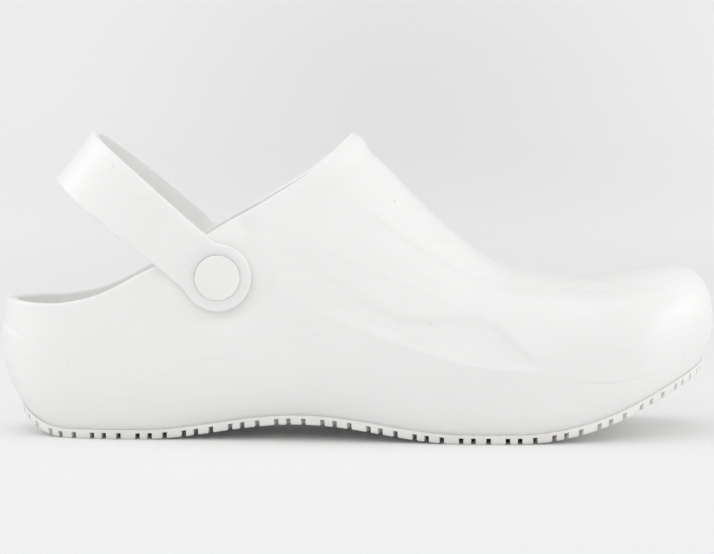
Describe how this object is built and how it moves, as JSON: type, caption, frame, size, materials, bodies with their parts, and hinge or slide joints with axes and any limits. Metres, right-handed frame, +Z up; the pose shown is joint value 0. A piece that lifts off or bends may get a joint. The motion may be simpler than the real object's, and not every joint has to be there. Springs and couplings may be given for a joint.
{
  "type": "safety clog",
  "caption": "Moulded foam work clog with a closed toe, a low heel collar, a turned-up heel strap on side rivets and a thin rubber outsole with notched edge lugs.",
  "frame": {"origin": "on the floor, under the middle of the shoe's box", "axes": "+X to the toe, +Y to the inner side of the foot, +Z up"},
  "size_m": [0.29, 0.1098, 0.1223],
  "materials": {
    "upper_foam": "satin moulded foam skin",
    "outsole_rubber": "matte",
    "footbed_foam": "matte",
    "strap_foam": "satin moulded foam skin",
    "rivet_plastic": "satin"
  },
  "bodies": {
    "root": {"moulded_upper": "upper_foam", "outsole": "outsole_rubber", "insole": "footbed_foam", "heel_strap": "strap_foam", "rivet_button_lateral": "rivet_plastic", "rivet_button_medial": "rivet_plastic", "rivet_washer_lateral": "rivet_plastic", "rivet_washer_medial": "rivet_plastic"}
  },
  "joints": []
}
